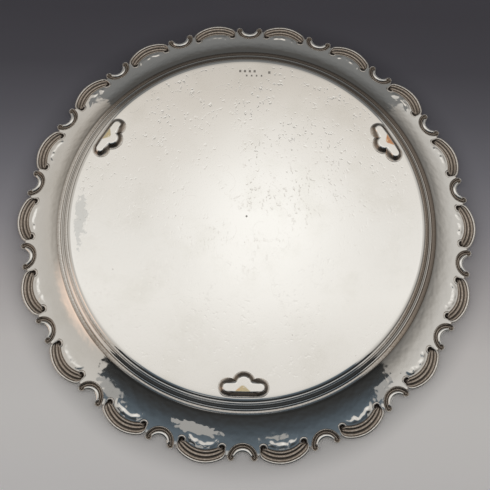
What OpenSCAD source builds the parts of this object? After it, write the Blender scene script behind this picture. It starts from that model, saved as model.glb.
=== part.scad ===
// Round footed salver with a border of alternating large and small C-scrolls.
//
// Millimetres. The salver stands on its feet: Z = 0 is the table, the origin is
// under the middle of the tray, and +Z points up out of the well.
// Every border and foot shape is drawn once, in a local frame whose +Y is the
// outward radius and whose +X runs along the rim, and is then turned into place.

/* [Tray] */
// Overall diameter, across opposite large scrolls
overall_d = 305; // [295:1:320]
// Radius of the flat well
well_r = 112.7; // [110:0.1:113.5]
// Thickness of the pressed sheet
sheet_t = 1.2; // [0.8:0.1:1.5]
// Radial width of the reeded step round the well
step_w = 10.4; // [8:0.1:12]
// Height of the reeded step
step_rise = 4.8; // [4:0.1:5.5]
// Height of the rim's underside above the well's underside
rim_rise = 14.4; // [12:0.1:17]
// How far the flared rim bows from a straight cone
flare_bow = 2.1; // [1:0.1:2.6]
// Distance from the overall radius in to the edge of the sheet
sheet_edge_in = 6.3; // [6:0.1:6.8]

/* [Border scrolls] */
// Height of a scroll, from the rim's lower face to its crest
scroll_h = 3.0; // [2.4:0.1:4]
// Wall of the hollow back of a scroll
scroll_wall = 0.7; // [0.5:0.1:0.8]
// Radius of a large scroll's outer arc
large_outer_r = 22.8; // [22:0.1:24]
// Radius of a large scroll's inner arc
large_inner_r = 17.5; // [17:0.1:18]
// Width of a large scroll's band at its middle
large_band_w = 7.8; // [7:0.1:8.2]
// Radius of the shoulders that close a large scroll's outer arc
large_shoulder_r = 5.0; // [4.5:0.1:5.2]
// Half the overall width of a large scroll
large_half_w = 15.35; // [15:0.05:15.5]
// Radius of a large scroll's rolled ends
large_volute_r = 2.95; // [2.5:0.05:3.2]
// Radius of a small scroll's outer arc
small_outer_r = 9.2; // [8.8:0.1:9.4]
// Width of a small scroll's reeded band
small_band_w = 2.6; // [2.2:0.1:3]
// Radius of the notch that a small scroll wraps round
small_notch_r = 5.2; // [4.8:0.1:5.4]
// Radius of a small scroll's rolled ends
small_volute_r = 2.1; // [1.8:0.1:2.2]

/* [Feet] */
// Height of the feet, from the table to the well's underside
foot_h = 3.0; // [2.4:0.1:5]
// Wall of a foot's shell
foot_wall = 0.8; // [0.5:0.1:1]
// How much smaller a foot's outline is at the table than at the tray
foot_draft = 3.2; // [2.6:0.1:3.4]
// Radius of a foot's middle lobe
foot_mid_r = 7.4; // [7:0.1:7.8]
// Radius of a foot's two side lobes
foot_side_r = 5.7; // [5.3:0.1:5.9]
// Distance of the side lobes from the foot's middle line
foot_side_x = 9.6; // [9.2:0.1:10]
// Radius of a foot's smooth outer edge
foot_arc_r = 100; // [80:5:120]

/* [Hidden] */
scroll_count = 18;
cut_h = 100;
scroll_pitch = 360 / scroll_count;
foot_angles = [90, 210, 330];
overall_r = overall_d / 2;
rim_z = foot_h + rim_rise;
$fn = 96;

// Large scroll: the arcs' centres lie on the scroll's middle line.
large_outer_y = overall_r - large_outer_r;
large_inner_y = overall_r - large_band_w - large_inner_r;
large_volute_x = large_half_w - large_volute_r;
large_volute_y = overall_r - 10.9;
large_shoulder_x = large_half_w - large_shoulder_r;
large_shoulder_angle = asin(large_shoulder_x / (large_outer_r - large_shoulder_r));
large_shoulder_y = large_outer_y + (large_outer_r - large_shoulder_r) * cos(large_shoulder_angle);

// Small scroll: its arc opens outward, round a notch in the salver's edge.
small_outer_y = overall_r - 4.8;
small_notch_y = overall_r - 3.3;
small_volute_x = small_outer_r - small_volute_r;
small_volute_y = overall_r - 5.5;

// Crest tiers of a scroll: [inset from the outline, share of the full height].
crest_tiers = [[0, 0.62], [0.55, 0.82], [1.1, 1]];
channel_depth = 0.4 * scroll_h;

// Feet: the outer edge stops just inside the edge of the well.
foot_edge_y = well_r - 0.3;
foot_mid_y = foot_edge_y - 8.1;
foot_side_y = foot_edge_y - 6.1;
foot_arc_y = foot_edge_y - foot_arc_r;
foot_flange_t = 0.5;
foot_flange_w = 0.3;
border_inner_r = overall_r - 18;

function numbered(stem, i) = str(stem, i < 10 ? "0" : "", i);

// Points of an arc from p to q whose middle stands off the chord by bow, to the
// left of the way from p to q. The last point is left to the next arc.
function arc(p, q, bow, n = 6) =
    let (
        chord = norm(q - p),
        along = (q - p) / chord,
        left = [-along[1], along[0]],
        r = (chord * chord / 4 + bow * bow) / (2 * bow),
        half = asin(chord / 2 / r),
        middle = (p + q) / 2 + left * (bow - r)
    )
    [for (i = [0:n - 1])
        let (a = half * (2 * i / n - 1))
        middle + r * (along * sin(a) + left * cos(a))];

// Lower face of the flared rim, from the end of the step to the overall radius.
flare = let (edge = [overall_r, rim_z])
    concat(arc([well_r + step_w, foot_h + step_rise], edge, flare_bow, 8), [edge]);

// A point of the step, at shares of its width and height.
function step_at(share_w, share_h) =
    [well_r + share_w * step_w, foot_h + share_h * step_rise];

// Lower face of the well and the step: flat well, rounded edge, two thin reeds,
// a steep fillet, a third thin reed and a broad one.
well_and_step =
    let (
        well_edge = [well_r - 0.7, foot_h],
        edge_end = step_at(0.21, 0.25),
        thin_mid = step_at(0.33, 0.335),
        thin_end = step_at(0.44, 0.43),
        fillet_end = step_at(0.585, 0.69),
        broad_start = step_at(0.69, 0.77),
        broad_end = step_at(0.93, 0.89)
    )
    concat(
        [[0, foot_h]],
        arc(well_edge, edge_end, -0.31),
        arc(edge_end, thin_mid, -0.12, 4),
        arc(thin_mid, thin_end, -0.14, 4),
        arc(thin_end, fillet_end, -0.06, 3),
        arc(fillet_end, broad_start, -0.11),
        arc(broad_start, broad_end, -0.17),
        [broad_end]
    );

// Solid of revolution between a lower face raised by low and raised by high.
module layer(face, low, high) {
    last = len(face) - 1;
    rotate_extrude($fn = 180)
        polygon(concat(
            [for (p = face) p + [0, low]],
            [for (i = [0:last]) face[last - i] + [0, high]]
        ));
}

// The border's own part of the rim, as a layer that the scrolls are cut from.
module border_layer(low, high) {
    layer([for (p = flare) if (p[0] > border_inner_r) p], low, high);
}

module at(angle) {
    rotate([0, 0, angle - 90]) children();
}

// Outline of a large scroll, drawn in by inset all round.
module large_outline(inset = 0) {
    reach = 2 * large_outer_r;
    difference() {
        union() {
            intersection() {
                translate([0, large_outer_y]) circle(large_outer_r - inset);
                translate([0, large_outer_y])
                    polygon([
                        [0, 0],
                        [reach * sin(large_shoulder_angle), reach * cos(large_shoulder_angle)],
                        [-reach * sin(large_shoulder_angle), reach * cos(large_shoulder_angle)]
                    ]);
            }
            for (side = [-1, 1])
                translate([side * large_shoulder_x, large_shoulder_y])
                    circle(large_shoulder_r - inset);
        }
        translate([0, large_inner_y]) circle(large_inner_r + inset);
    }
    for (side = [-1, 1])
        translate([side * large_volute_x, large_volute_y]) {
            circle(large_volute_r - inset);
            translate([-large_volute_r + inset, 0])
                square([2 * (large_volute_r - inset), large_shoulder_y - large_volute_y]);
        }
}

// Outline of a small scroll's reeded band and rolled ends, drawn in by inset.
module small_band_outline(inset = 0) {
    difference() {
        translate([0, small_outer_y]) circle(small_outer_r - inset);
        translate([0, small_outer_y]) circle(small_outer_r - small_band_w + inset);
        translate([-small_outer_r, small_volute_y]) square(2 * small_outer_r);
    }
    for (side = [-1, 1])
        translate([side * small_volute_x, small_volute_y])
            circle(small_volute_r - inset);
}

// Whole outline of a small scroll: the band and the plain roll inside it.
module small_outline() {
    small_band_outline();
    difference() {
        translate([0, small_outer_y]) circle(small_outer_r - 0.1);
        translate([0, small_notch_y]) circle(small_notch_r);
        translate([-small_outer_r, small_volute_y]) square(2 * small_outer_r);
    }
}

// One pressed sheet, cut away where the border scrolls are soldered on.
module tray_body() {
    color([0.87, 0.87, 0.85])
        intersection() {
            layer(concat(well_and_step, flare), 0, sheet_t);
            linear_extrude(cut_h)
                difference() {
                    circle(overall_r - sheet_edge_in, $fn = 180);
                    for (i = [0:scroll_count - 1]) {
                        at(i * scroll_pitch) large_outline();
                        at((i + 0.5) * scroll_pitch)
                            translate([0, small_outer_y]) circle(small_outer_r);
                    }
                }
        }
}

// Large C-scroll, opening towards the middle, with a hollow back.
module large_scroll(i) {
    color([0.72, 0.70, 0.66])
        difference() {
            for (tier = crest_tiers)
                intersection() {
                    border_layer(0, tier[1] * scroll_h);
                    at((i - 1) * scroll_pitch) linear_extrude(cut_h) large_outline(tier[0]);
                }
            intersection() {
                border_layer(-1, channel_depth);
                at((i - 1) * scroll_pitch) linear_extrude(cut_h) large_outline(scroll_wall);
            }
        }
}

// Small C-scroll, opening outward, with a hollow back and a solid plain roll.
module small_scroll(i) {
    color([0.78, 0.76, 0.72])
        difference() {
            union() {
                intersection() {
                    border_layer(0, crest_tiers[0][1] * scroll_h);
                    at((i - 0.5) * scroll_pitch) linear_extrude(cut_h) small_outline();
                }
                intersection() {
                    border_layer(0, crest_tiers[1][1] * scroll_h);
                    at((i - 0.5) * scroll_pitch)
                        linear_extrude(cut_h) small_band_outline(crest_tiers[1][0]);
                }
            }
            intersection() {
                border_layer(-1, channel_depth);
                at((i - 0.5) * scroll_pitch)
                    linear_extrude(cut_h) small_band_outline(scroll_wall);
            }
        }
}

// Three lobes behind one smooth outer edge, drawn in by inset.
module foot_outline(inset) {
    translate([0, foot_mid_y]) circle(foot_mid_r - inset);
    for (side = [-1, 1])
        translate([side * foot_side_x, foot_side_y]) circle(foot_side_r - inset);
    intersection() {
        translate([0, foot_arc_y]) circle(foot_arc_r - inset);
        translate([-foot_side_x, foot_side_y]) square([2 * foot_side_x, foot_arc_r]);
    }
}

// The same shape as a solid from the table to the tray, smaller at the table.
module foot_body(inset) {
    low = foot_draft + inset;
    translate([0, foot_mid_y]) cylinder(h = foot_h, r1 = foot_mid_r - low, r2 = foot_mid_r - inset);
    for (side = [-1, 1])
        translate([side * foot_side_x, foot_side_y])
            cylinder(h = foot_h, r1 = foot_side_r - low, r2 = foot_side_r - inset);
    intersection() {
        translate([0, foot_arc_y]) cylinder(h = foot_h, r1 = foot_arc_r - low, r2 = foot_arc_r - inset);
        translate([-foot_side_x, foot_side_y, 0]) cube([2 * foot_side_x, foot_arc_r, foot_h]);
    }
}

// Hollow stamped foot: a drafted trefoil shell, closed at the table and open
// at the tray, with a thin flange that is soldered to the tray.
module foot(angle) {
    color([0.80, 0.79, 0.76])
        at(angle)
            difference() {
                union() {
                    foot_body(foot_flange_w);
                    translate([0, 0, foot_h - foot_flange_t])
                        linear_extrude(foot_flange_t) foot_outline(0);
                }
                translate([0, 0, foot_wall]) foot_body(foot_flange_w + foot_wall);
            }
}

tray_body();
for (i = [1:scroll_count])
    large_scroll(i);
for (i = [1:scroll_count])
    small_scroll(i);
for (i = [1:3])
    foot(foot_angles[i - 1]);
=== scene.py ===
"""Looks of the round footed salver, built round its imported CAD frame.

The salver stands on its feet, as in use, and the camera looks up at its underside
from below. Lengths are in millimetres until a mesh is made. Border and foot shapes
are drawn in a local frame whose y is the outward radius and whose x runs along the
rim, and are turned into place. Two grid names run through the file: "low" is a face
seen from below and "high" the same sheet's face seen from above.
"""
import math

import bpy
from mathutils import Matrix, Vector, noise


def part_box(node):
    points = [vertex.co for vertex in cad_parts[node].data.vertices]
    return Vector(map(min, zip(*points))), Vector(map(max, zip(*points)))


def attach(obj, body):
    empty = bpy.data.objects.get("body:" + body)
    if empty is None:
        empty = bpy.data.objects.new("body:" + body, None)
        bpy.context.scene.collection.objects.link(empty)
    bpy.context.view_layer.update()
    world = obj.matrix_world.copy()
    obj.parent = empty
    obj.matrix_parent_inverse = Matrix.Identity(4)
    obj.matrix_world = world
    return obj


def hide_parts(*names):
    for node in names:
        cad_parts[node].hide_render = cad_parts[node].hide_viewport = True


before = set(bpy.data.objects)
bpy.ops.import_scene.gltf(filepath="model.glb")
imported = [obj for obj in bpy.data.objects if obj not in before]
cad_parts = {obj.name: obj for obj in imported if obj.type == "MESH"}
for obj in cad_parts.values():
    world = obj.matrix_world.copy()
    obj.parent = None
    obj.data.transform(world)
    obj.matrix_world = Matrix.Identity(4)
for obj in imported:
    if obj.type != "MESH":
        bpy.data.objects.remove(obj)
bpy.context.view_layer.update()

MM = 0.001

# ---------------------------------------------------------------- sizes, in mm
scroll_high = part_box("large_scroll_01")[1] / MM
OVERALL_R = scroll_high.x
CREST_Z = scroll_high.z
WELL_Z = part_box("foot_1")[1].z / MM
FOOT_OUTER_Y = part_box("foot_1")[1].y / MM
SECTORS = 18
PITCH = 360 / SECTORS

SHEET_T = 1.2
SCROLL_H = 3.0
RIM_Z = WELL_Z + 14.4
WELL_R = OVERALL_R - 39.8
STEP_W = 10.4
STEP_RISE = 4.8
FLARE_BOW = 2.1
SHEET_EDGE_R = OVERALL_R - 6.3
BORDER_R = OVERALL_R - 20.5

LARGE_OUTER_R = 22.8
LARGE_OUTER_Y = OVERALL_R - LARGE_OUTER_R
LARGE_INNER_R = 17.5
LARGE_INNER_Y = OVERALL_R - 7.8 - LARGE_INNER_R
LARGE_HALF_W = 15.35
SHOULDER_R = 5.0
SHOULDER_X = LARGE_HALF_W - SHOULDER_R
SHOULDER_ANGLE = math.asin(SHOULDER_X / (LARGE_OUTER_R - SHOULDER_R))
SHOULDER_Y = LARGE_OUTER_Y + (LARGE_OUTER_R - SHOULDER_R) * math.cos(SHOULDER_ANGLE)
LARGE_VOLUTE_R = 2.95
LARGE_VOLUTE = (LARGE_HALF_W - LARGE_VOLUTE_R, OVERALL_R - 10.9)
# Where the inside of a large scroll's band meets its rolled end, in degrees.
LARGE_TURN_IN = 57.2

SMALL_OUTER_R = 9.2
SMALL_OUTER_Y = OVERALL_R - 4.8
SMALL_BAND_W = 2.6
SMALL_NOTCH_R = 5.2
SMALL_NOTCH_Y = OVERALL_R - 3.3
SMALL_VOLUTE_R = 2.1
SMALL_VOLUTE = (SMALL_OUTER_R - SMALL_VOLUTE_R, OVERALL_R - 5.5)
SMALL_TURN_IN = -22.4

# The sheet's free edge between two scrolls, in degrees from a large scroll's middle.
FREE_EDGE_FROM = 5.957
FREE_EDGE_TO = 6.46


# ---------------------------------------------------------------- plan curves
def smooth(low, high, value):
    t = min(1.0, max(0.0, (value - low) / (high - low)))
    return t * t * (3 - 2 * t)


def mix(a, b, t):
    return a + (b - a) * t


def on_circle(centre, radius, degrees):
    a = math.radians(degrees)
    return (centre[0] + radius * math.cos(a), centre[1] + radius * math.sin(a))


def circle_arc(centre, radius, start, end, count):
    """count points from start towards end, in degrees, without the end point."""
    return [on_circle(centre, radius, mix(start, end, i / count)) for i in range(count)]


def line(p, q, count):
    return [(mix(p[0], q[0], i / count), mix(p[1], q[1], i / count)) for i in range(count)]


def turn(point, degrees):
    """Turns a local point, +y outward, so that y lies along the given angle."""
    a = math.radians(degrees - 90)
    c, s = math.cos(a), math.sin(a)
    return (point[0] * c - point[1] * s, point[0] * s + point[1] * c)


def bowed(p, q, bow):
    """Centre and radius of the arc from p to q that stands bow off its chord."""
    p, q = Vector(p), Vector(q)
    chord = (q - p).length
    along = (q - p) / chord
    left = Vector((-along.y, along.x))
    radius = (chord * chord / 4 + bow * bow) / (2 * bow)
    return (p + q) / 2 + left * (bow - radius), radius


def bowed_arc(p, q, bow, count):
    """The points of that arc, without q."""
    centre, radius = bowed(p, q, bow)
    start, end = (math.atan2(v[1] - centre.y, v[0] - centre.x) for v in (p, q))
    radius = abs(radius)
    sweep = (end - start + math.pi) % (2 * math.pi) - math.pi
    return [
        (centre.x + radius * math.cos(start + sweep * i / count),
         centre.y + radius * math.sin(start + sweep * i / count))
        for i in range(count)
    ]


STEP_END = (WELL_R + STEP_W, WELL_Z + STEP_RISE)
FLARE_CENTRE, FLARE_RADIUS = bowed(STEP_END, (OVERALL_R, RIM_Z), FLARE_BOW)


def rim_z(radius):
    """Height of the flared rim's lower face."""
    reach = radius - FLARE_CENTRE.x
    return FLARE_CENTRE.y + math.sqrt(FLARE_RADIUS**2 - reach * reach)


def step_profile():
    """Lower face from near the well's edge to the end of the step, as (r, z)."""
    def at(share_w, share_h):
        return (WELL_R + share_w * STEP_W, WELL_Z + share_h * STEP_RISE)

    knots = [
        ((WELL_R - 0.7, WELL_Z), -0.31),
        (at(0.21, 0.25), -0.12),
        (at(0.33, 0.335), -0.14),
        (at(0.44, 0.46), -0.06),
        (at(0.595, 0.67), -0.11),
        (at(0.69, 0.77), -0.17),
        (at(0.93, 0.89), 0),
    ]
    points = []
    for (p, bow), (q, _) in zip(knots, knots[1:]):
        points += bowed_arc(p, q, bow, 7)
    return points + [knots[-1][0]]


# ---------------------------------------------------------------- meshes
def make_piece(name, verts, faces, material, tarnish_and_shade, smooth_angle=40):
    mesh = bpy.data.meshes.new(name)
    mesh.from_pydata([(x * MM, y * MM, z * MM) for x, y, z in verts], [], faces)
    mesh.validate()
    mesh.update()
    layer = mesh.attributes.new("tarnish_and_shade", "FLOAT", "POINT")
    layer.data.foreach_set("value", tarnish_and_shade)
    mesh.shade_smooth()
    mesh.set_sharp_from_angle(angle=math.radians(smooth_angle))
    mesh.materials.append(material)
    piece = bpy.data.objects.new(name, mesh)
    bpy.context.scene.collection.objects.link(piece)
    return piece


class Shell:
    """Collects vertices, faces and the tarnish and painted shade of each vertex."""

    def __init__(self):
        self.verts, self.faces, self.tarnish_and_shade = [], [], []

    def add(self, x, y, z, tarnish_and_shade=0.0):
        self.verts.append((x, y, z))
        self.tarnish_and_shade.append(tarnish_and_shade)
        return len(self.verts) - 1

    def quads(self, rows, flip=False, closed=False):
        """Faces between neighbouring rows of vertex numbers."""
        for a, b in zip(rows, rows[1:]):
            last = len(a) if closed else len(a) - 1
            for i in range(last):
                j = (i + 1) % len(a)
                face = (a[i], a[j], b[j], b[i])
                self.faces.append(face[::-1] if flip else face)

    def slab(self, plan, low, high, tarnish_low, tarnish_high):
        """Closed shell over a grid of plan points, between two height functions.

        low and high take (i, j, x, y); rows of the grid run along i."""
        grids = []
        for height, tarnish_and_shade in ((low, tarnish_low), (high, tarnish_high)):
            grids.append([
                [self.add(x, y, height(i, j, x, y), tarnish_and_shade(i, j)) for j, (x, y) in enumerate(row)]
                for i, row in enumerate(plan)
            ])
        lows, highs = grids
        self.quads(lows, flip=True)
        self.quads(highs)
        self.quads([[row[0] for row in highs], [row[0] for row in lows]])
        self.quads([[row[-1] for row in lows], [row[-1] for row in highs]])
        self.quads([lows[0], highs[0]])
        self.quads([highs[-1], lows[-1]])


def mirrored(half):
    """A whole row of a symmetric grid from its right half, apex first."""
    return [(-x, y) for x, y in half[:0:-1]] + half


def mirrored_rows(half):
    """A whole symmetric grid from the rows of its right half, middle row first."""
    return [[(-x, y) for x, y in row] for row in half[:0:-1]] + half


def lerp_grid(inner, outer, shares):
    """Rows of points from an inner curve to an outer curve."""
    return [
        [(mix(a[0], b[0], t), mix(a[1], b[1], t)) for t in shares]
        for a, b in zip(inner, outer)
    ]


# ---------------------------------------------------------------- border shapes
def boss(x, y, seed):
    """How far the sheet is pressed down inside a large scroll, in the local frame."""
    inside = LARGE_INNER_R - math.hypot(x, y - LARGE_INNER_Y)
    taper = 1 - smooth(6.5, 10.5, abs(x))
    uneven = noise.noise(Vector((x * 0.36, y * 0.25, seed * 5.3)))
    hammered = noise.noise(Vector((x * 0.34, y * 0.34, seed * 3.1)))
    ridge = (0.42 + 0.30 * uneven) * math.exp(-((inside - 2.6 - 0.8 * uneven) / 1.35) ** 2)
    dimples = 0.12 * hammered * smooth(0, 1.5, inside) * smooth(7.5, 4.0, inside)
    return taper * (ridge + dimples)


def border_boundary():
    """Right half of one sector's sheet edge, and the angles to fan it from.

    It runs round the inside of the large scroll, its rolled end and its shoulder,
    along the free edge of the sheet, and round half of the small scroll."""
    shoulder_stop = 15
    half = circle_arc((0, LARGE_INNER_Y), LARGE_INNER_R, 90, LARGE_TURN_IN, 20)
    half += circle_arc(LARGE_VOLUTE, LARGE_VOLUTE_R, 174, 360, 14)
    half += line((LARGE_HALF_W, LARGE_VOLUTE[1]), (LARGE_HALF_W, SHOULDER_Y), 3)
    half += circle_arc((SHOULDER_X, SHOULDER_Y), SHOULDER_R, 0, shoulder_stop, 2)
    half += circle_arc((0, 0), SHEET_EDGE_R, 90 - FREE_EDGE_FROM, 90 - FREE_EDGE_TO, 3)
    axis = 90 - PITCH / 2
    centre = on_circle((0, 0), SMALL_OUTER_Y, axis)
    start = on_circle((0, 0), SHEET_EDGE_R, 90 - FREE_EDGE_TO)
    first = math.degrees(math.atan2(start[1] - centre[1], start[0] - centre[0])) % 360
    half += circle_arc(centre, SMALL_OUTER_R, first, axis + 180, 14)
    half.append(on_circle(centre, SMALL_OUTER_R, axis + 180))
    lengths = [0.0]
    for p, q in zip(half, half[1:]):
        lengths.append(lengths[-1] + math.dist(p, q))
    fan = []
    for p, length in zip(half, lengths):
        own = 90 - math.degrees(math.atan2(p[1], p[0]))
        even = PITCH / 2 * length / lengths[-1]
        fan.append((own + even) / 2)
    return half, fan


def ripple(x, y):
    """Slight unevenness of thin metal, in mm."""
    wide = noise.noise(Vector((x / 38, y / 38, 3.1))) * 0.10
    near = noise.noise(Vector((x / 13, y / 13, 7.7))) * 0.022
    return wide + near


def step_tarnish_and_sheen(r, x, y):
    """Tarnish held by the reeds of the step and their grooves, thinned on two sides to paint a brighter
    reflection there.
    """
    share = (r - WELL_R) / STEP_W
    inner = smooth(0.16, 0.26, share) * smooth(0.50, 0.44, share)
    outer = smooth(0.58, 0.65, share) * smooth(0.98, 0.92, share)
    grooves = sum(math.exp(-((share - g) / 0.02) ** 2) for g in (0.21, 0.33, 0.44, 0.69, 0.93))
    # Painted sheen: the reeds hold less tarnish towards +y and -x, a painted stand-in for the brighter
    # reflection on those two sides.
    painted_sheen = max(smooth(0.3, 0.9, y / r), smooth(0.5, 0.95, -x / r))
    reeds = (0.66 - 0.36 * painted_sheen) * inner + (0.84 - 0.46 * painted_sheen) * outer
    return min(1.0, reeds + (0.22 - 0.08 * painted_sheen) * grooves)


def sheet_profile():
    """Lower face from the middle of the well to where the border begins, as (r, z)."""
    flare_rows = 14
    profile = [(r, WELL_Z) for r in range(6, int(WELL_R) - 3, 6)]
    profile += [(WELL_R - 2.5, WELL_Z)] + step_profile()
    flare = [mix(STEP_END[0], BORDER_R, i / flare_rows) for i in range(flare_rows)]
    return profile + [(r, rim_z(r)) for r in flare]


def sheet_rings(shell, angles, lift):
    """Rings of vertex numbers from the well to the border, lift above the lower face."""
    rings = []
    for r, z in sheet_profile():
        ring = []
        fade = smooth(0, 1, r / 40)
        for sector in range(SECTORS):
            for a in angles:
                x, y = on_circle((0, 0), r, -PITCH * sector - a)
                ring.append(shell.add(x, y, z + lift + ripple(x, y) * fade, step_tarnish_and_sheen(r, x, y)))
        rings.append(ring)
    return rings


def border_rings(shell, angles, edge, lift):
    """Rings of vertex numbers from a plain circle to the sheet's cut edge."""
    rows = 24
    rings = []
    for k in range(rows + 1):
        t = k / rows
        ring = []
        for sector in range(SECTORS):
            for a, b in zip(angles, edge):
                base = on_circle((0, 0), BORDER_R, 90 - a)
                p = (mix(base[0], b[0], t), mix(base[1], b[1], t))
                x, y = turn(p, -PITCH * sector)
                z = rim_z(math.hypot(*p)) - boss(*p, sector) * smooth(0, 0.15, t)
                z += ripple(x, y) * (1 - 0.6 * t)
                ring.append(shell.add(x, y, z + lift, smooth(0.93, 1.0, t) * 0.75))
        rings.append(ring)
    return rings


def fill_side(shell, centre, rings, border, coarse, flip):
    """Faces of one side; the border's first ring has coarse times the last ring's points."""
    count = len(rings[0])
    for i in range(count):
        face = (centre, rings[0][(i + 1) % count], rings[0][i])
        shell.faces.append(face[::-1] if flip else face)
    shell.quads(rings, flip=not flip, closed=True)
    last, fine = rings[-1], border[0]
    for i in range(count):
        span = [fine[(coarse * i + k) % len(fine)] for k in range(coarse + 1)]
        face = [last[i], last[(i + 1) % count]] + span[::-1]
        shell.faces.append(face if flip else face[::-1])
    shell.quads(border, flip=not flip, closed=True)


def tray_sheet(material):
    """The pressed sheet: well, reeded step, flared rim and its bosses."""
    half, fan = border_boundary()
    edge = mirrored(half)[:-1]
    angles = [-a for a in fan[:0:-1]] + fan[:-1]
    coarse = 4
    shell = Shell()
    sides = []
    for lift in (0.0, SHEET_T):
        centre = shell.add(0, 0, WELL_Z + lift + ripple(0, 0), 0)
        rings = sheet_rings(shell, angles[::coarse], lift)
        sides.append((centre, rings, border_rings(shell, angles, edge, lift)))
    for (centre, rings, border), flip in zip(sides, (False, True)):
        fill_side(shell, centre, rings, border, coarse, flip)
    shell.quads([sides[0][2][-1], sides[1][2][-1]], closed=True, flip=True)
    return make_piece("tray_sheet", shell.verts, shell.faces, material, shell.tarnish_and_shade, 50)


# ---------------------------------------------------------------- scrolls
def band_shares(count):
    return [i / count for i in range(count + 1)]


def channel(share, width, lip, depth, reeds):
    """Depth of a scroll's hollow back at a share of the way out across its band."""
    inner = lip * 0.5 / width
    outer = 1 - lip / width
    if share >= outer:
        across = (share - outer) / (1 - outer)
        return 0.45 - 0.45 * math.sin(math.pi * min(1.0, 0.25 + 0.60 * across))
    across = (share - inner) / (outer - inner)
    if across < 0:
        return depth * 0.45
    bowl = depth * (0.45 + 0.55 * math.sin(math.pi * min(1, across * 0.92 + 0.08)) ** 0.7)
    reed = 0.30 * depth * abs(math.sin(math.pi * reeds * across))
    wall = smooth(1.0, 0.93, across)
    return (bowl - reed) * wall


def crest(share, reeds):
    """Share of a scroll's height that its reeded face reaches."""
    round_off = math.sin(math.pi * min(1, max(0, share * 0.94 + 0.03))) ** 0.45
    reed = 0.10 * abs(math.sin(math.pi * reeds * share))
    return min(1.0, 0.42 + 0.50 * round_off + reed * round_off)


def large_scroll_plan(count):
    """Grid of a large scroll, across its band, with a fan round each rolled end."""
    eye = (LARGE_VOLUTE[0] - 0.2, LARGE_VOLUTE[1] + 0.25)
    turn_in = on_circle((0, LARGE_INNER_Y), LARGE_INNER_R, LARGE_TURN_IN)
    shoulder_from = 90 - math.degrees(SHOULDER_ANGLE)
    shoulder = (SHOULDER_X, SHOULDER_Y)
    outer = circle_arc((0, LARGE_OUTER_Y), LARGE_OUTER_R, 90, shoulder_from, 18)
    inner = circle_arc((0, LARGE_INNER_Y), LARGE_INNER_R, 90, 64, 18)
    outer += circle_arc(shoulder, SHOULDER_R, shoulder_from, 36, 5)
    inner += circle_arc((0, LARGE_INNER_Y), LARGE_INNER_R, 64, LARGE_TURN_IN, 5)
    outer += circle_arc(shoulder, SHOULDER_R, 36, 0, 8)
    inner += line(turn_in, eye, 8)
    outer += line((LARGE_HALF_W, SHOULDER_Y), (LARGE_HALF_W, LARGE_VOLUTE[1]), 3)
    outer += circle_arc(LARGE_VOLUTE, LARGE_VOLUTE_R, 0, -180, 18)
    outer.append(on_circle(LARGE_VOLUTE, LARGE_VOLUTE_R, -180))
    inner += [eye] * (len(outer) - len(inner))
    widths = [math.dist(a, b) for a, b in zip(inner, outer)]
    half = lerp_grid(inner, outer, band_shares(count))
    return mirrored_rows(half), widths[:0:-1] + widths


def small_scroll_plan(count):
    """Grid of a small scroll's band, and the grid of the plain roll inside it."""
    eye = SMALL_VOLUTE
    centre = (0, SMALL_OUTER_Y)
    inner_r = SMALL_OUTER_R - SMALL_BAND_W
    turn_in = on_circle(centre, inner_r, SMALL_TURN_IN)
    outer = circle_arc(centre, SMALL_OUTER_R, -90, -30, 16)
    inner = circle_arc(centre, inner_r, -90, SMALL_TURN_IN, 16)
    outer += circle_arc(centre, SMALL_OUTER_R, -30, -4, 7)
    inner += line(turn_in, eye, 7)
    outer += circle_arc(eye, SMALL_VOLUTE_R, 0, 239, 22)
    outer.append(on_circle(eye, SMALL_VOLUTE_R, 239))
    inner += [eye] * (len(outer) - len(inner))
    widths = [math.dist(a, b) for a, b in zip(inner, outer)]
    half = lerp_grid(inner, outer, band_shares(count))
    roll_half = lerp_grid(
        circle_arc((0, SMALL_NOTCH_Y), SMALL_NOTCH_R, -90, -20, 14),
        circle_arc(centre, inner_r - 0.02, -90, -21.5, 14),
        band_shares(10),
    )
    return mirrored_rows(half), widths[:0:-1] + widths, mirrored_rows(roll_half)


def above_rim(x, y, height):
    """Height of a point that stands height over the rim's lower face."""
    return rim_z(min(OVERALL_R, math.hypot(x, y))) + height


def band_slab(shell, plan, widths, lip, depth, reeds):
    """Reeded band, hollow behind, that follows the slope of the rim."""
    count = len(plan[0]) - 1
    widest = max(widths)
    lips = [min(lip, width * 0.4) for width in widths]

    def low(i, j, x, y):
        narrow = 1 - widths[i] / widest
        own = depth * (1 + 0.25 * narrow)
        return above_rim(x, y, channel(j / count, widths[i], lips[i], own, reeds))

    def high(_, j, x, y):
        return above_rim(x, y, SCROLL_H * crest(j / count, reeds))

    def dark(i, j):
        share = j / count
        edge = 1 - lips[i] / widths[i]
        if share > edge - 0.02:
            across = (share - edge + 0.02) / (1.02 - edge)
            return 0.50 - 0.18 * math.sin(math.pi * min(1.0, across))
        reed = abs(math.sin(math.pi * reeds * share / edge))
        wide = smooth(0.25, 0.7, widths[i] / widest)
        return 1.0 - 0.50 * reed * wide

    def worn(_, j):
        return 0.30 + 0.5 * (1 - abs(math.sin(math.pi * reeds * j / count)))

    shell.slab(plan, low, high, dark, worn)


def large_scroll(angle):
    """A large scroll: one reeded band with a rolled end each side."""
    shell = Shell()
    plan, widths = large_scroll_plan(34)
    band_slab(shell, plan, widths, lip=1.2, depth=1.35, reeds=3)
    return turned(shell, angle)


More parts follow.
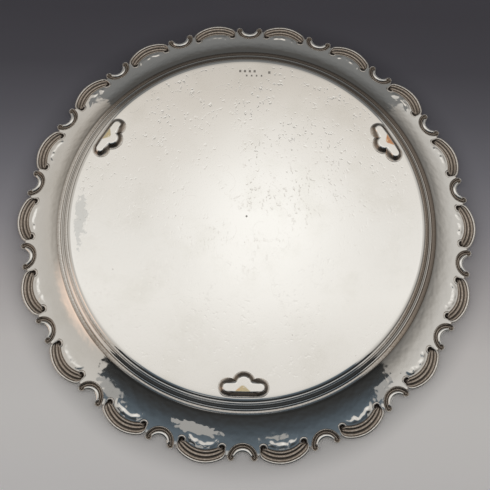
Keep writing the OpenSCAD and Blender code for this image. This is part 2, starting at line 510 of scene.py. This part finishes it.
def small_scroll(angle):
    """A small scroll: a reeded band round a plain roll."""
    shell = Shell()
    band, widths, roll = small_scroll_plan(20)
    band_slab(shell, band, widths, lip=0.42, depth=0.95, reeds=2)
    across = len(roll[0]) - 1

    def swell(j):
        return math.sin(math.pi * j / across)

    def low(_, j, x, y):
        return above_rim(x, y, 0.75 - 1.05 * swell(j) ** 0.7)

    def high(_, j, x, y):
        return above_rim(x, y, 1.25 + 0.55 * swell(j))

    def clean(_, j):
        return 0.9 * (1 - swell(j)) ** 3

    shell.slab(roll, low, high, clean, clean)
    return turned(shell, angle)


def turned(shell, angle):
    """The shell with its local frame turned to an angle round the tray."""
    shell.verts = [(*turn((x, y), angle), z) for x, y, z in shell.verts]
    return shell


# ---------------------------------------------------------------- feet
FOOT_Y = FOOT_OUTER_Y - 6.1
FOOT_SIDE_X = 9.6


def ray_to_circle(centre, radius, angle):
    """Distance from the origin along a ray to the far side of a circle, or 0."""
    c = centre[0] * math.cos(angle) + centre[1] * math.sin(angle)
    off = centre[0] ** 2 + centre[1] ** 2 - c * c
    return c + math.sqrt(radius**2 - off) if radius**2 > off else 0.0


def soft_max(values, power=14):
    return sum(max(v, 0.01) ** power for v in values) ** (1 / power)


def lobes(angle, middle_r, side_r):
    circles = [((0, 2.0), middle_r), ((FOOT_SIDE_X, 0), side_r), ((-FOOT_SIDE_X, 0), side_r)]
    return [ray_to_circle(centre, radius, angle) for centre, radius in circles]


def bar(angle, inner_h, outer_h):
    """Distance to the long sides of the bar between the two side lobes."""
    s, c = math.sin(angle), abs(math.cos(angle))
    reach = (inner_h if s > 0 else outer_h) / max(abs(s), 1e-6)
    return reach if reach * c < FOOT_SIDE_X else 0.0


def foot_base(angle):
    """Radius of a foot's outline at the tray; angle 90 degrees points inward."""
    arc = ray_to_circle((0, 93.9), 100, angle)
    middle, right, left = lobes(angle, 7.4, 5.7)
    if math.sin(angle) < 0:
        return max(arc if arc * abs(math.cos(angle)) < FOOT_SIDE_X else 0.0, right, left)
    return soft_max([middle, right, left], 8)


def foot_top(angle):
    """Radius of a foot's flat face at the table."""
    return soft_max(lobes(angle, 3.8, 2.15) + [bar(angle, 2.1, 2.13)], 16)


def wall_end(angle):
    """Radius where a foot's fluted wall ends, short of its flange."""
    return foot_base(angle) - mix(0.8, 0.35, smooth(-0.6, 0.4, math.sin(angle)))


def worn_through(x, y):
    """Where the silver of a foot's face has worn through, a triangle at its outer side."""
    rise = (y - FOOT_Y + 1.2) / 3.4
    inside = 0.4 + 4.0 * min(1.0, rise) - abs(x + 0.6)
    return smooth(-0.5, 0.3, inside) * smooth(0.0, 0.12, rise) * smooth(1.15, 0.95, rise)


def foot_outlines():
    """A foot's outlines from its face to the tray, as (radius function, z, tarnish and painted shade)."""
    top_rows, wall_rows = 12, 18
    flange_z = WELL_Z - 0.32
    outlines = [(lambda a, t=k / top_rows: foot_top(a) * t, 0.0, 0.05) for k in range(1, top_rows + 1)]
    for k in range(1, wall_rows + 1):
        t = k / wall_rows
        # Painted shade: the walls are darkened to stand for the dark surroundings they reflect; the
        # flange's outer line stays lighter.
        shade_and_tarnish = 0.80 * smooth(0.12, 0.45, t) * (1 - 0.35 * smooth(0.5, 0.85, t))
        z = flange_z * smooth(0, 1, t)
        outlines.append((lambda a, t=t: mix(foot_top(a), wall_end(a), t), z, shade_and_tarnish))
    outlines.append((lambda a: mix(wall_end(a), foot_base(a), 0.85), flange_z + 0.02, 0.1))
    outlines.append((foot_base, flange_z + 0.12, 0.7))
    outlines.append((lambda a: foot_base(a) + 0.03, WELL_Z, 1.0))
    return outlines


def foot(angle, material, number):
    """Trefoil foot: flat worn face, fluted walls and a thin flange."""
    turns = 240
    shell = Shell()
    pole = shell.add(0, FOOT_Y, 0, 0)
    patch = [0.0]
    rows = []
    for radius_of, z, tarnish_and_shade in foot_outlines():
        row = []
        for k in range(turns):
            a = 2 * math.pi * k / turns
            x, y = radius_of(a) * math.cos(a), FOOT_Y - radius_of(a) * math.sin(a)
            row.append(shell.add(x, y, z, tarnish_and_shade))
            patch.append(worn_through(x, y) if z < 0.2 else 0.0)
        rows.append(row)
    for k in range(turns):
        shell.faces.append((pole, rows[0][(k + 1) % turns], rows[0][k]))
    shell.quads(rows, closed=True)
    shell.faces.append(tuple(rows[-1][::-1]))
    turned(shell, angle)
    piece = make_piece(f"foot_shell_{number}", shell.verts, shell.faces, material, shell.tarnish_and_shade, 60)
    layer = piece.data.attributes.new("patch", "FLOAT", "POINT")
    layer.data.foreach_set("value", patch)
    return piece


# ---------------------------------------------------------------- node helper
class Graph:
    """Builds shader nodes; inputs may be numbers, colours or sockets."""

    def __init__(self, tree):
        self.tree = tree
        tree.nodes.clear()

    def node(self, kind, inputs=None, **settings):
        made = self.tree.nodes.new(kind)
        for key, value in settings.items():
            setattr(made, key, value)
        for key, value in (inputs or {}).items():
            self.plug(value, made.inputs[key])
        return made

    def plug(self, value, socket):
        if isinstance(value, bpy.types.NodeSocket):
            self.tree.links.new(value, socket)
        else:
            socket.default_value = value

    def math(self, operation, *values):
        inputs = dict(enumerate(values))
        return self.node("ShaderNodeMath", inputs, operation=operation).outputs[0]

    def vector(self, operation, *values):
        made = self.node("ShaderNodeVectorMath", dict(enumerate(values)), operation=operation)
        return made.outputs["Value"] if operation in ("LENGTH", "DOT_PRODUCT") else made.outputs[0]

    def span(self, value, low, high, start=0.0, end=1.0):
        """Smooth step of value from low to high, as start to end."""
        inputs = {"Value": value, "From Min": low, "From Max": high, "To Min": start, "To Max": end}
        made = self.node("ShaderNodeMapRange", inputs, interpolation_type="SMOOTHSTEP")
        return made.outputs["Result"]

    def blend(self, share, a, b):
        made = self.node("ShaderNodeMix", data_type="RGBA")
        self.plug(share, made.inputs["Factor"])
        for name, value in (("A", a), ("B", b)):
            socket = [s for s in made.inputs if s.name == name and s.type == "RGBA"][0]
            self.plug(value, socket)
        return [s for s in made.outputs if s.type == "RGBA"][0]

    def ramp(self, value, stops):
        """Colour ramp of value; stops are (position, colour)."""
        made = self.node("ShaderNodeValToRGB", {"Fac": value})
        elements = made.color_ramp.elements
        while len(elements) < len(stops):
            elements.new(1.0)
        for element, (position, colour) in zip(elements, stops):
            element.position = position
            element.color = (*colour, 1)
        return made.outputs["Color"]

    def noise(self, coords, scale, detail=2.0, roughness=0.5):
        inputs = {"Vector": coords, "Scale": scale, "Detail": detail, "Roughness": roughness}
        return self.node("ShaderNodeTexNoise", inputs).outputs["Fac"]

    def attribute(self, name):
        return self.node("ShaderNodeAttribute", attribute_name=name).outputs["Fac"]


def grey(value, warm=0.0):
    """A grey of the given linear value, warmer or cooler by a small share."""
    return (value * (1 + warm), value, value * (1 - warm))


# ---------------------------------------------------------------- materials
SILVER = (0.925, 0.92, 0.885, 1)
PATINA = (0.79, 0.78, 0.72, 1)
# Tarnish colours, also used to paint shade on the feet's walls.
TARNISH_AND_SHADE = (0.38, 0.325, 0.27, 1)
DEEP_TARNISH_AND_SHADE = (0.13, 0.11, 0.095, 1)
RUBBED = (0.55, 0.57, 0.56, 1)


def in_mm(graph):
    """The piece's own coordinates, in millimetres."""
    coords = graph.node("ShaderNodeTexCoord").outputs["Object"]
    return graph.node("ShaderNodeVectorMath", {0: coords, "Scale": 1 / MM}, operation="SCALE").outputs[0]


def hairlines(graph, coords, angle, seed):
    """Fine parallel polishing scratches at an angle."""
    inputs = {"Vector": coords, "Rotation": (0, 0, math.radians(angle)), "Scale": (0.06, 2.2, 0.4),
              "Location": (seed, 0, 0)}
    stretched = graph.node("ShaderNodeMapping", inputs).outputs[0]
    return graph.span(graph.noise(stretched, 1.0, 3.0, 0.6), 0.60, 0.78)


def curved_scratches(graph, coords, cell, seed):
    """Sparse thin curved scratches, one or none in each cell of the given size."""
    moved = graph.vector("ADD", coords, (seed, seed * 0.37, 0))
    flat = graph.vector("MULTIPLY", moved, (1, 1, 0))
    cells = graph.node("ShaderNodeTexVoronoi", {"Vector": flat, "Scale": 1 / cell},
                       voronoi_dimensions="2D")
    local = graph.vector("SUBTRACT", flat, cells.outputs["Position"])
    chance = graph.node("ShaderNodeSeparateColor", {"Color": cells.outputs["Color"]}).outputs
    radius = graph.span(chance[0], 0, 1, 0.10 * cell, 0.33 * cell)
    off = graph.math("ABSOLUTE", graph.math("SUBTRACT", graph.vector("LENGTH", local), radius))
    thin = graph.span(off, 0.16, 0.05)
    facing = graph.math("MULTIPLY", chance[1], 2 * math.pi)
    parts = graph.node("ShaderNodeSeparateXYZ", {"Vector": local}).outputs
    angle = graph.math("ARCTAN2", parts[1], parts[0])
    near = graph.math("COSINE", graph.math("SUBTRACT", angle, facing))
    piece = graph.span(near, 0.25, 0.5)
    rare = graph.span(chance[2], 0.55, 0.60)
    return graph.math("MULTIPLY", graph.math("MULTIPLY", thin, piece), rare)


def lower_face(graph, coords):
    """1 on the lower face of the well, 0 on its upper face and beyond the well."""
    _, _, z = graph.node("ShaderNodeSeparateXYZ", {"Vector": coords}).outputs
    near = graph.span(z, WELL_Z + SHEET_T * 0.7, WELL_Z + SHEET_T * 0.4)
    radius = graph.vector("LENGTH", graph.vector("MULTIPLY", coords, (1, 1, 0)))
    return graph.math("MULTIPLY", near, graph.span(radius, WELL_R - 1.5, WELL_R - 3))


def dents(graph, coords):
    """Small shallow dents, deepest on one half of the well, and on the rim a beaten look."""
    _, y, _ = graph.node("ShaderNodeSeparateXYZ", {"Vector": coords}).outputs
    radius = graph.vector("LENGTH", graph.vector("MULTIPLY", coords, (1, 1, 0)))
    small = graph.span(graph.noise(coords, 0.30, 2.5, 0.6), 0.592, 0.705)
    slits = graph.vector("MULTIPLY", coords, (0.62, 0.24, 0.5))
    small = graph.math("MAXIMUM", small, graph.span(graph.noise(slits, 1.0, 2.0), 0.64, 0.74))
    patchy = graph.span(graph.noise(coords, 0.045, 2.0), 0.38, 0.62)
    half = graph.span(y, 25.0, -55.0, 0.60, 1.0)
    well = graph.math("MULTIPLY", graph.math("MULTIPLY", small, patchy), half)
    on_rim = graph.span(radius, WELL_R + STEP_W - 1, WELL_R + STEP_W + 3)
    beaten = graph.math("MULTIPLY", graph.noise(coords, 0.20, 1.0, 0.4), on_rim)
    deep = graph.math("MULTIPLY", graph.math("MULTIPLY", well, lower_face(graph, coords)), -0.065)
    return graph.math("ADD", deep, graph.math("MULTIPLY", beaten, 0.13))


def smear(graph, coords):
    """A rubbed blotch by the edge of the well."""
    moved = graph.vector("ADD", coords, (106.5, -3.0, 0))
    leaned = graph.node("ShaderNodeMapping", {
        "Vector": moved, "Rotation": (0, 0, math.radians(12)), "Scale": (0.24, 0.055, 0),
    }).outputs[0]
    near = graph.vector("LENGTH", leaned)
    uneven = graph.math("SUBTRACT", graph.noise(coords, 0.28, 3.0, 0.65), 0.5)
    broken = graph.math("MULTIPLY", uneven, 2.6)
    blotch = graph.span(graph.math("ADD", near, broken), 1.0, 0.7)
    return graph.math("MULTIPLY", blotch, lower_face(graph, coords))


def specks(graph, coords, cell, size, share):
    """Small pits in a share of the cells; cell and size are in mm."""
    cells = graph.node("ShaderNodeTexVoronoi", {"Vector": coords, "Scale": 1 / cell})
    chance = graph.node("ShaderNodeSeparateColor", {"Color": cells.outputs["Color"]}).outputs
    near = graph.span(cells.outputs["Distance"], size / cell, size / cell * 0.4)
    return graph.math("MULTIPLY", near, graph.span(chance[0], 1 - share, 1 - share + 0.02))


def used_well(graph, coords, colour, height, pits):
    """Adds the tray's own marks of use to a colour and a height."""
    lower = lower_face(graph, coords)
    near, wide = curved_scratches(graph, coords, 17, 5), curved_scratches(graph, coords, 29, 61)
    arcs = graph.math("MULTIPLY", graph.math("MAXIMUM", near, wide), lower)
    height = graph.math("SUBTRACT", height, graph.math("MULTIPLY", arcs, 0.008))
    height = graph.math("ADD", height, dents(graph, coords))
    marks = graph.math("MULTIPLY", punched(graph, coords), lower)
    height = graph.math("SUBTRACT", height, graph.math("MULTIPLY", marks, 0.15))
    colour = graph.blend(graph.math("MULTIPLY", marks, 0.75), colour, DEEP_TARNISH_AND_SHADE)
    colour = graph.blend(graph.math("MULTIPLY", pits, 0.6), colour, TARNISH_AND_SHADE)
    colour = graph.blend(graph.math("MULTIPLY", smear(graph, coords), 0.5), colour, RUBBED)
    return colour, height


def worn_patch(graph, coords, colour, rough):
    """Adds the brassy metal under a foot's worn silver, redder towards +X."""
    worn = graph.attribute("patch")
    east, _, _ = graph.node("ShaderNodeSeparateXYZ", {"Vector": coords}).outputs
    redder = graph.math("MULTIPLY", graph.span(east, 20.0, 70.0), 0.30)
    tone = graph.math("ADD", graph.noise(coords, 0.35, 3.0), redder)
    brass = graph.ramp(tone, [
        (0.30, (0.50, 0.47, 0.27)), (0.55, (0.62, 0.50, 0.26)),
        (0.72, (0.75, 0.36, 0.10)), (0.85, (0.60, 0.22, 0.06)),
    ])
    colour = graph.blend(graph.math("MULTIPLY", worn, 0.85), colour, brass)
    return colour, graph.math("ADD", rough, graph.math("MULTIPLY", worn, 0.15))


def darkened_silver(graph, cloudy, shade_and_tarnish):
    """Silver under a thin film, darkened in two steps as a share of tarnish and painted shade goes from 0
    to 1.
    """
    film = graph.span(cloudy, 0.45, 0.80, 0.0, 0.45)
    clean = graph.blend(film, SILVER, PATINA)
    doubled = graph.math("MULTIPLY", shade_and_tarnish, 2.0)
    colour = graph.blend(graph.math("MINIMUM", doubled, 1.0), clean, TARNISH_AND_SHADE)
    deep = graph.math("MAXIMUM", graph.math("SUBTRACT", doubled, 1.0), 0.0)
    return graph.blend(deep, colour, DEEP_TARNISH_AND_SHADE)


def silver_material(name, shade_and_tarnish_strength, clean_rough, well=False, patch=False):
    """Worn silver plate: smudges, hairlines, pits, tarnish kept in recesses, and the painted shade and
    sheen that the pieces' per-vertex share carries.
    """
    material = bpy.data.materials.new(name)
    material.use_nodes = True
    graph = Graph(material.node_tree)
    coords = in_mm(graph)
    cloudy = graph.noise(coords, 0.035, 4.0, 0.6)
    fine = graph.noise(coords, 0.9, 3.0, 0.6)
    lines = graph.math("MAXIMUM", hairlines(graph, coords, 24, 3), hairlines(graph, coords, 108, 11))
    pits = specks(graph, coords, cell=7.5, size=0.42, share=0.22)

    uneven = graph.math("MULTIPLY", graph.math("SUBTRACT", fine, 0.5), 0.35)
    ragged = graph.math("ADD", graph.attribute("tarnish_and_shade"), uneven)
    shade_and_tarnish = graph.math("MULTIPLY", graph.span(ragged, 0.10, 0.95), shade_and_tarnish_strength)
    colour = darkened_silver(graph, cloudy, shade_and_tarnish)

    rough = graph.span(cloudy, 0.35, 0.75, clean_rough, clean_rough + 0.05)
    rough = graph.math("ADD", rough, graph.math("MULTIPLY", lines, 0.05))
    rough = graph.math("ADD", rough, graph.math("MULTIPLY", shade_and_tarnish, 0.30))

    height = graph.math("MULTIPLY", lines, -0.0006)
    height = graph.math("ADD", height, graph.math("MULTIPLY", fine, 0.001))
    height = graph.math("SUBTRACT", height, graph.math("MULTIPLY", pits, 0.05))
    if well:
        colour, height = used_well(graph, coords, colour, height, pits)
    if patch:
        colour, rough = worn_patch(graph, coords, colour, rough)

    bump = graph.node("ShaderNodeBump", {"Height": height, "Strength": 1.0, "Distance": MM})
    shader = graph.node("ShaderNodeBsdfPrincipled", {
        "Base Color": colour, "Metallic": 1.0, "Roughness": rough, "Normal": bump.outputs["Normal"],
    })
    graph.node("ShaderNodeOutputMaterial", {"Surface": shader.outputs[0]})
    return material


def box_mask(graph, x, y, half_w, half_h, soft=0.15):
    """1 inside a rectangle round the origin of two coordinate sockets."""
    in_x = graph.span(graph.math("ABSOLUTE", x), half_w + soft, half_w)
    in_y = graph.span(graph.math("ABSOLUTE", y), half_h + soft, half_h)
    return graph.math("MULTIPLY", in_x, in_y)


def punched(graph, coords):
    """Plain punched dents: two short rows and one apart, and the centre point."""
    parts = graph.node("ShaderNodeSeparateXYZ", {"Vector": coords}).outputs
    x, y = parts[0], parts[1]
    total = None
    for first_x, row_y, pitch, count, size in (
        (-6.0, -104.8, 3.3, 4, 0.85),
        (-1.5, -101.4, 3.4, 4, 0.55),
        (14.0, -104.0, 3.3, 1, 0.9),
    ):
        middle = first_x + pitch * (count - 1) / 2
        whole = box_mask(graph, graph.math("SUBTRACT", x, middle), graph.math("SUBTRACT", y, row_y),
                         pitch * count / 2, size + 0.3)
        steps = graph.math("SUBTRACT", x, first_x - pitch / 2)
        local = graph.math("SUBTRACT", graph.math("FLOORED_MODULO", steps, pitch), pitch / 2)
        dent = box_mask(graph, local, graph.math("SUBTRACT", y, row_y), size * 0.7, size * 0.8, 0.25)
        dent = graph.math("MULTIPLY", dent, whole)
        total = dent if total is None else graph.math("MAXIMUM", total, dent)
    radius = graph.vector("LENGTH", graph.vector("MULTIPLY", coords, (1, 1, 0)))
    return graph.math("MAXIMUM", total, graph.span(radius, 0.75, 0.3))


# ---------------------------------------------------------------- the salver
tray_metal = silver_material("tray_silver", 0.85, 0.035, well=True)
scroll_metal = silver_material("scroll_silver", 1.0, 0.16)
foot_metal = silver_material("foot_silver", 0.8, 0.10, patch=True)


def finish_piece(piece, node):
    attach(piece, "root")
    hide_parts(node)


finish_piece(tray_sheet(tray_metal), "tray_body")
for number in range(1, SECTORS + 1):
    for build, stem, angle in (
        (large_scroll, "large_scroll", (number - 1) * PITCH),
        (small_scroll, "small_scroll", (number - 0.5) * PITCH),
    ):
        shape = build(angle)
        node = f"{stem}_{number:02d}"
        piece = make_piece(f"{node}_mount", shape.verts, shape.faces, scroll_metal, shape.tarnish_and_shade)
        finish_piece(piece, node)
for number, angle in enumerate((90, 210, 330), 1):
    finish_piece(foot(angle, foot_metal, number), f"foot_{number}")


# ---------------------------------------------------------------- stage
def one_sided_plane(name, z, size, faces_up, colour):
    """A floor seen from one side only: the other side lets everything through."""
    half = size / 2
    corners = [(-half, -half, z), (half, -half, z), (half, half, z), (-half, half, z)]
    mesh = bpy.data.meshes.new(name)
    mesh.from_pydata(corners, [], [(0, 1, 2, 3) if faces_up else (3, 2, 1, 0)])
    plane = bpy.data.objects.new(name, mesh)
    bpy.context.scene.collection.objects.link(plane)
    material = bpy.data.materials.new(name)
    material.use_nodes = True
    graph = Graph(material.node_tree)
    surface = graph.node("ShaderNodeBsdfDiffuse", {"Color": colour(graph), "Roughness": 0.8})
    clear = graph.node("ShaderNodeBsdfTransparent")
    back = graph.node("ShaderNodeNewGeometry").outputs["Backfacing"]
    both = graph.node("ShaderNodeMixShader", {0: back, 1: surface.outputs[0], 2: clear.outputs[0]})
    graph.node("ShaderNodeOutputMaterial", {"Surface": both.outputs[0]})
    mesh.materials.append(material)
    plane.visible_shadow = False
    plane.visible_diffuse = False
    plane.visible_glossy = False


SWEEP_GAIN = 2.0


def pale(_):
    """The floor's plain colour, which needs no nodes."""
    return (0.62, 0.61, 0.595, 1)


def sweep(graph):
    """Pale sheet with a painted fall-off of light to dark grey at one end, and the salver's soft shadow
    painted round it.
    """
    along = graph.node("ShaderNodeTexCoord").outputs["Object"]
    x, y, _ = graph.node("ShaderNodeSeparateXYZ", {"Vector": along}).outputs
    slanted = graph.math("SUBTRACT", y, graph.math("MULTIPLY", x, 0.02))
    inputs = {"Value": slanted, "From Min": -0.2, "From Max": 0.2}
    share = graph.node("ShaderNodeMapRange", inputs).outputs[0]
    # Painted light: these tones paint the backdrop's fall-off from lit to dim.
    tones = [
        (-165, 0.064, 1.02, 1.18), (-120, 0.077, 1.01, 1.17), (-80, 0.118, 1.0, 1.15),
        (-40, 0.180, 1.0, 1.13), (0, 0.265, 1.01, 1.08), (40, 0.385, 1.02, 1.02),
        (80, 0.49, 1.01, 1.0), (120, 0.515, 1.0, 1.0), (165, 0.49, 1.0, 1.01),
    ]
    tone = graph.ramp(share, [
        (0.5 + at / 400, (level * SWEEP_GAIN * red, level * SWEEP_GAIN, level * SWEEP_GAIN * blue))
        for at, level, red, blue in tones
    ])
    reach = graph.vector("LENGTH", graph.node("ShaderNodeCombineXYZ", {"X": x, "Y": y}).outputs[0])
    # Painted shadow: a dark ring round the rim stands in for the salver's soft shadow.
    shadow = graph.span(reach, 0.166, 0.146, 0.0, 0.24)
    return graph.blend(shadow, tone, (0, 0, 0, 1))


one_sided_plane("floor", -0.0002, 6.0, True, pale)
one_sided_plane("backdrop_over_the_rim", (CREST_Z + 0.3) * MM, 3.0, False, sweep)


CEILING = [(-88, grey(0.95)), (-55, grey(0.80)), (-40, grey(0.42)), (-22, grey(0.30))]


def wall(graph, elevation, stops):
    """Colours by elevation below the horizon, in degrees, with the ceiling above."""
    inputs = {"Value": elevation, "From Min": -90.0, "From Max": 90.0}
    share = graph.node("ShaderNodeMapRange", inputs).outputs[0]
    return graph.ramp(share, [((e + 90) / 180, colour) for e, colour in CEILING + stops])


def from_middle(graph, around, rise, middle, half_size):
    """Distance from a point on the walls, in shares of a half width and half height."""
    across = graph.math("SUBTRACT", around, middle[0])
    up = graph.math("SUBTRACT", rise, middle[1])
    shape = graph.node("ShaderNodeCombineXYZ", {
        "X": graph.math("DIVIDE", across, half_size[0]),
        "Y": graph.math("DIVIDE", up, half_size[1]),
    }).outputs[0]
    return graph.vector("LENGTH", shape)


def east_wall(graph, away, rise):
    """Pale wall whose colours sink towards the front."""
    towards_front = graph.math("MAXIMUM", graph.math("SUBTRACT", away, 73.0), 0.0)
    lowered = graph.math("SUBTRACT", rise, graph.math("MULTIPLY", towards_front, 0.34))
    return wall(graph, lowered, [
        (-10, grey(0.045, 0.06)), (-3, grey(0.10, 0.06)), (5, grey(0.19, 0.06)), (13, grey(0.315, 0.06)),
        (20, grey(0.44, 0.05)), (30, grey(0.54, 0.04)), (50, grey(0.58, 0.04)),
    ])


def west_wall(graph, around, rise):
    """Pale wall with a soft warm patch on it."""
    plain = wall(graph, rise, [
        (-10, grey(0.06, 0.10)), (-3, grey(0.13, 0.10)), (2, grey(0.23, 0.10)), (8, grey(0.33, 0.09)),
        (13, grey(0.40, 0.08)), (18, grey(0.475, 0.07)), (28, grey(0.49, 0.06)), (50, grey(0.55, 0.05)),
    ])
    glow = from_middle(graph, around, rise, (-106.0, 6.0), (20.0, 18.0))
    return graph.blend(graph.span(glow, 1.1, 0.35), plain, (0.90, 0.71, 0.60, 1))


def front_wall(graph, around, rise, torn):
    """Dark, slightly blue wall with four pale cards, whose edges are torn."""
    dark = wall(graph, rise, [
        (8, grey(0.013)), (17, grey(0.017)), (24, grey(0.034)), (32, grey(0.052, -0.10)),
        (40, grey(0.077, -0.18)), (50, grey(0.12, -0.20)), (60, grey(0.15, -0.20)),
    ])
    cards = None
    for middle, half_size in (
        ((-163.0, 42.0), (9.0, 6.0)),
        ((-129.0, 43.0), (6.0, 9.0)),
        ((127.0, 42.0), (4.0, 9.0)),
        ((168.0, 48.0), (5.0, 3.0)),
    ):
        distance = from_middle(graph, around, rise, middle, half_size)
        card = graph.span(graph.math("ADD", distance, graph.math("MULTIPLY", torn, 1.6)), 1.04, 0.96)
        cards = card if cards is None else graph.math("MAXIMUM", cards, card)
    return graph.blend(cards, dark, (*grey(0.34, 0.02), 1))


def light_panel(graph, x, north):
    """Bright panel under the well, which glows a little towards the back end."""
    panel = graph.ramp(graph.math("ADD", north, 0.2), [
        (0.0, grey(0.60, 0.04)), (0.20, grey(0.72, 0.04)), (0.36, grey(0.85, 0.03)),
        (0.46, grey(0.81, 0.03)), (0.60, grey(0.72, 0.05)), (0.70, grey(0.62, 0.07)),
        (0.80, grey(0.50, 0.07)),
    ])
    off_centre = graph.vector("LENGTH", graph.node("ShaderNodeCombineXYZ", {
        "X": graph.math("SUBTRACT", x, 0.035), "Y": graph.math("SUBTRACT", north, 0.29),
    }).outputs[0])
    return graph.blend(graph.span(off_centre, 0.24, 0.02), panel, (1.03, 1.01, 0.99, 1))


def studio_world():
    """Soft studio round the salver, by direction.

    Below the salver, where the camera is, it is a light tent: a bright panel under the
    well, pale side walls that darken downwards, a dark grey end behind the salver's
    back and a darker one in front. Above it is a bright ceiling. The camera itself sees
    a plain pale backdrop. "around" is the bearing from the back end, "away" the same
    without its sign and "rise" the angle below the horizon, all in degrees."""
    world = bpy.data.worlds.new("studio")
    bpy.context.scene.world = world
    world.use_nodes = True
    graph = Graph(world.node_tree)
    way = graph.node("ShaderNodeTexCoord").outputs["Generated"]
    x, y, z = graph.node("ShaderNodeSeparateXYZ", {"Vector": way}).outputs
    north = graph.math("MULTIPLY", y, -1.0)
    rise = graph.math("DEGREES", graph.math("ARCSINE", graph.math("MULTIPLY", z, -1.0)))
    around = graph.math("DEGREES", graph.math("ARCTAN2", x, north))
    away = graph.math("ABSOLUTE", around)
    torn = graph.math("SUBTRACT", graph.noise(way, 5.5, 3.0, 0.55), 0.5)

    back_end = wall(graph, rise, [
        (-10, grey(0.068)), (0, grey(0.078, 0.04)), (8, grey(0.130)), (17, grey(0.184)), (50, grey(0.21)),
    ])
    side = graph.span(x, -0.05, 0.05)
    sides = graph.blend(side, west_wall(graph, around, rise), east_wall(graph, away, rise))
    edge = graph.math("ADD", away, graph.math("MULTIPLY", torn, 7.0))
    walls = graph.blend(graph.span(edge, 37.0, 38.5), back_end, sides)
    walls = graph.blend(graph.span(edge, 124.0, 125.0), walls, front_wall(graph, around, rise, torn))

    panel_from = graph.span(away, 110.0, 125.0, 49.0, 60.0)
    above = graph.math("SUBTRACT", rise, panel_from)
    colour = graph.blend(graph.span(above, 0.0, 8.0), walls, light_panel(graph, x, north))
    seen = graph.node("ShaderNodeLightPath").outputs["Is Camera Ray"]
    colour = graph.blend(seen, colour, (0.60, 0.60, 0.61, 1))
    shade = graph.node("ShaderNodeBackground", {"Color": colour, "Strength": 1.0})
    graph.node("ShaderNodeOutputWorld", {"Surface": shade.outputs[0]})


studio_world()


def soft_light(name, place, aim, size, watts):
    data = bpy.data.lights.new(name, "AREA")
    data.shape = "DISK"
    data.size = size
    data.energy = watts
    light = bpy.data.objects.new(name, data)
    light.location = place
    light.rotation_mode = "QUATERNION"
    light.rotation_quaternion = (Vector(aim) - Vector(place)).to_track_quat("-Z", "Y")
    light.visible_camera = False
    light.visible_glossy = False
    bpy.context.scene.collection.objects.link(light)


soft_light("key_from_above", place=(0.5, -0.45, 0.9), aim=(0, 0, 0), size=0.5, watts=6)


# ---------------------------------------------------------------- camera
def underside_camera():
    """Looks up at the underside from 15 degrees off the axis, towards foot_1."""
    elevation, azimuth, roll = 75.23, 0.134, 0.641
    distance = 2.4114 * OVERALL_R
    aim = Vector((-0.0049, -0.1002, 0)) * OVERALL_R
    twist = 0.20
    focal_share = 1.139184

    e, a, tilt = (math.radians(v) for v in (elevation, azimuth, roll))
    back = Vector((math.sin(a) * math.cos(e), -math.cos(a) * math.cos(e), math.sin(e)))
    right = back.cross(Vector((0, 0, -1))).normalized()
    up = -right.cross(back)
    c, s = math.cos(tilt), math.sin(tilt)
    right, up = right * c + up * s, up * c - right * s

    def to_model(v):
        """From the face-down view, z towards the camera, to the standing salver."""
        c, s = math.cos(math.radians(twist)), math.sin(math.radians(twist))
        return Vector((v.x * c - v.y * s, -(v.x * s + v.y * c), -v.z))

    data = bpy.data.cameras.new("camera")
    data.sensor_width = 36
    data.lens = focal_share * data.sensor_width
    camera = bpy.data.objects.new("camera", data)
    place = to_model(aim + back * distance) + Vector((0, 0, RIM_Z))
    axes = [to_model(v) for v in (right, up, back)]
    turned_axes = Matrix(axes).transposed().to_4x4()
    camera.matrix_world = Matrix.Translation(place * MM) @ turned_axes
    bpy.context.scene.collection.objects.link(camera)
    bpy.context.scene.camera = camera


underside_camera()
bpy.context.scene.view_settings.view_transform = "Standard"
